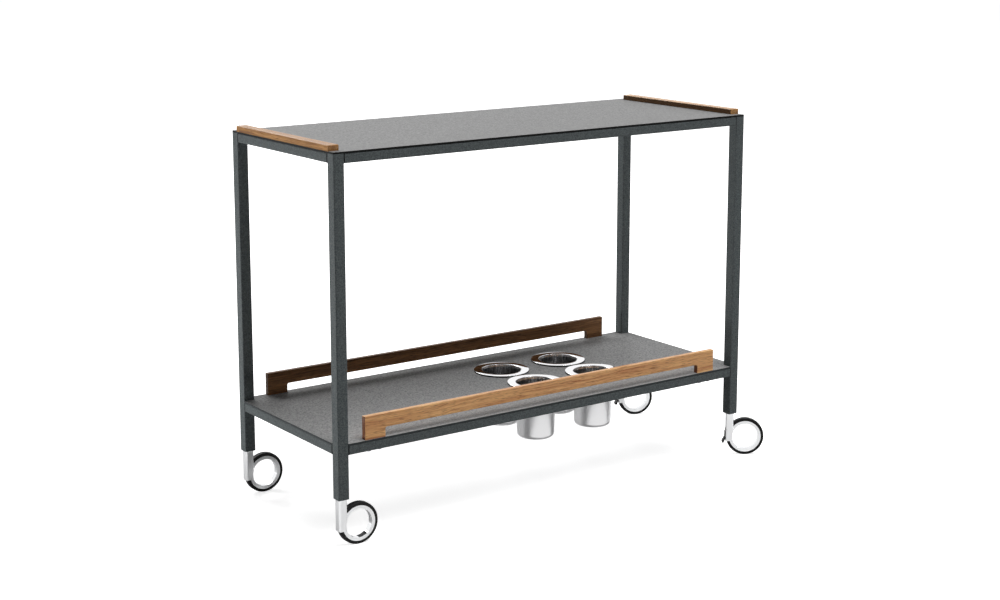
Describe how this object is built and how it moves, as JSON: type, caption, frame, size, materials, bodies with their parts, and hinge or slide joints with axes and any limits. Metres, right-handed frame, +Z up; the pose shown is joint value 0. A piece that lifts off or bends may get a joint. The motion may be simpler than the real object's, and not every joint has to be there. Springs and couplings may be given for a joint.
{
  "type": "cheese trolley",
  "caption": "Serving trolley on hubless casters: tube frame, laminate top with oak end strips, lower shelf with oak rails and drop-in steel cups.",
  "frame": {"origin": "floor level, under the centre of the bounding box of the trolley as it stands, with its casters swivelled as stated", "axes": "+X along the trolley towards its braked end, +Y from its front to its back, +Z up"},
  "size_m": [1.1674, 0.4726, 0.8325],
  "materials": {
    "frame_paint": "dark grey powder coat, fine texture",
    "top_laminate": "light grey compact laminate with a dark edge, fine mottle",
    "shelf_laminate": "grey compact laminate with a dark edge, fine mottle",
    "oak": "oiled oak, lengthwise grain, rounded edges",
    "screw_steel": "zinc plated",
    "cup_steel": "mirror polished stainless steel",
    "seal_rubber": "black, matt",
    "socket_nylon": "black nylon",
    "stem_steel": "ground",
    "caster_chrome": "bright chrome on cast metal",
    "ring_nylon": "dark nylon",
    "tyre_rubber": "black, matt",
    "pedal_plastic": "black, satin"
  },
  "bodies": {
    "frame": {"post_fl": "frame_paint", "post_fr": "frame_paint", "post_bl": "frame_paint", "post_br": "frame_paint", "top_rail_front": "frame_paint", "top_rail_back": "frame_paint", "top_rail_left": "frame_paint", "top_rail_right": "frame_paint", "lower_rail_front": "frame_paint", "lower_rail_back": "frame_paint", "lower_rail_left": "frame_paint", "lower_rail_right": "frame_paint", "top_panel": "top_laminate", "lower_shelf": "shelf_laminate", "top_strip_left": "oak", "top_strip_right": "oak", "shelf_rail_front": "oak", "shelf_rail_back": "oak", "shelf_rail_screws": "screw_steel", "top_strip_screws": "screw_steel", "caster_socket_fl": "socket_nylon", "caster_socket_fr": "socket_nylon", "caster_socket_bl": "socket_nylon", "caster_socket_br": "socket_nylon"},
    "swivel_fl": {"caster_stem_fl": "stem_steel", "caster_fork_fl": "caster_chrome", "caster_cap_fl": "caster_chrome"},
    "wheel_fl": {"wheel_ring_fl": "ring_nylon", "tyre_fl": "tyre_rubber"},
    "swivel_fr": {"caster_stem_fr": "stem_steel", "caster_fork_fr": "caster_chrome", "caster_cap_fr": "caster_chrome", "pedal_pin_fr": "stem_steel"},
    "wheel_fr": {"wheel_ring_fr": "ring_nylon", "tyre_fr": "tyre_rubber"},
    "pedal_fr": {"brake_pedal_fr": "pedal_plastic"},
    "swivel_bl": {"caster_stem_bl": "stem_steel", "caster_fork_bl": "caster_chrome", "caster_cap_bl": "caster_chrome"},
    "wheel_bl": {"wheel_ring_bl": "ring_nylon", "tyre_bl": "tyre_rubber"},
    "swivel_br": {"caster_stem_br": "stem_steel", "caster_fork_br": "caster_chrome", "caster_cap_br": "caster_chrome", "pedal_pin_br": "stem_steel"},
    "wheel_br": {"wheel_ring_br": "ring_nylon", "tyre_br": "tyre_rubber"},
    "pedal_br": {"brake_pedal_br": "pedal_plastic"},
    "cup_front_left": {"cup_front_left": "cup_steel", "cup_seal_front_left": "seal_rubber"},
    "cup_front_right": {"cup_front_right": "cup_steel", "cup_seal_front_right": "seal_rubber"},
    "cup_back_left": {"cup_back_left": "cup_steel", "cup_seal_back_left": "seal_rubber"},
    "cup_back_right": {"cup_back_right": "cup_steel", "cup_seal_back_right": "seal_rubber"}
  },
  "joints": [
    {"name": "swivel_fl", "type": "hinge", "parent": "frame", "child": "swivel_fl", "pos_m": [-0.57158, -0.18337, 0.1025], "axis": [0, 0, 1], "continuous": true},
    {"name": "wheel_spin_fl", "type": "hinge", "parent": "swivel_fl", "child": "wheel_fl", "pos_m": [-0.5346, -0.18466, 0.045], "axis": [0.0349, 0.9994, 0], "continuous": true},
    {"name": "swivel_fr", "type": "hinge", "parent": "frame", "child": "swivel_fr", "pos_m": [0.50542, -0.18337, 0.1025], "axis": [0, 0, 1], "continuous": true},
    {"name": "wheel_spin_fr", "type": "hinge", "parent": "swivel_fr", "child": "wheel_fr", "pos_m": [0.53573, -0.20459, 0.045], "axis": [0.5736, 0.8192, 0], "continuous": true},
    {"name": "brake_fr", "type": "hinge", "parent": "swivel_fr", "child": "pedal_fr", "pos_m": [0.49935, -0.17911, 0.062], "axis": [0.5736, 0.8192, 0], "range_deg": [0, 25]},
    {"name": "swivel_bl", "type": "hinge", "parent": "frame", "child": "swivel_bl", "pos_m": [-0.57158, 0.22363, 0.1025], "axis": [0, 0, 1], "continuous": true},
    {"name": "wheel_spin_bl", "type": "hinge", "parent": "swivel_bl", "child": "wheel_bl", "pos_m": [-0.53458, 0.22299, 0.045], "axis": [0.0175, 0.9998, 0], "continuous": true},
    {"name": "swivel_br", "type": "hinge", "parent": "frame", "child": "swivel_br", "pos_m": [0.50542, 0.22363, 0.1025], "axis": [0, 0, 1], "continuous": true},
    {"name": "wheel_spin_br", "type": "hinge", "parent": "swivel_br", "child": "wheel_br", "pos_m": [0.53973, 0.20977, 0.045], "axis": [0.3746, 0.9272, 0], "continuous": true},
    {"name": "brake_br", "type": "hinge", "parent": "swivel_br", "child": "pedal_br", "pos_m": [0.49855, 0.22641, 0.062], "axis": [0.3746, 0.9272, 0], "range_deg": [0, 25]},
    {"name": "cup_lift_front_left", "type": "slide", "parent": "frame", "child": "cup_front_left", "axis": [0, 0, 1], "range_m": [0, 0.2]},
    {"name": "cup_lift_front_right", "type": "slide", "parent": "frame", "child": "cup_front_right", "axis": [0, 0, 1], "range_m": [0, 0.2]},
    {"name": "cup_lift_back_left", "type": "slide", "parent": "frame", "child": "cup_back_left", "axis": [0, 0, 1], "range_m": [0, 0.2]},
    {"name": "cup_lift_back_right", "type": "slide", "parent": "frame", "child": "cup_back_right", "axis": [0, 0, 1], "range_m": [0, 0.2]}
  ]
}
